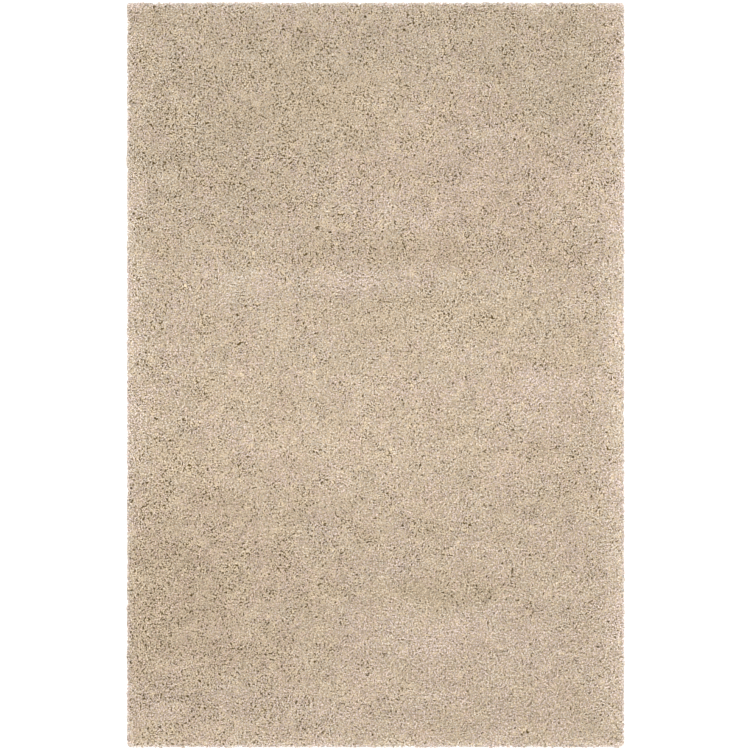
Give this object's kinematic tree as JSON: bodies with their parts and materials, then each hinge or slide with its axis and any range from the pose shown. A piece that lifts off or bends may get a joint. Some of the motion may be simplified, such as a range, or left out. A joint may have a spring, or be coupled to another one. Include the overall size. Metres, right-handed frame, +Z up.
{
  "type": "shag rug",
  "caption": "Rectangular shag rug lying flat, with a thick lumpy pile of twisted beige yarn and loose yarn locks around its rim",
  "frame": {"origin": "on the floor, under the middle of the rug", "axes": "+X across the rug's width, +Y along its length, +Z up out of the pile"},
  "size_m": [1.22, 1.825, 0.04],
  "materials": {
    "beige_yarn": "matte twisted yarn pile"
  },
  "bodies": {
    "root": {"shag_rug": "beige_yarn"}
  },
  "joints": []
}
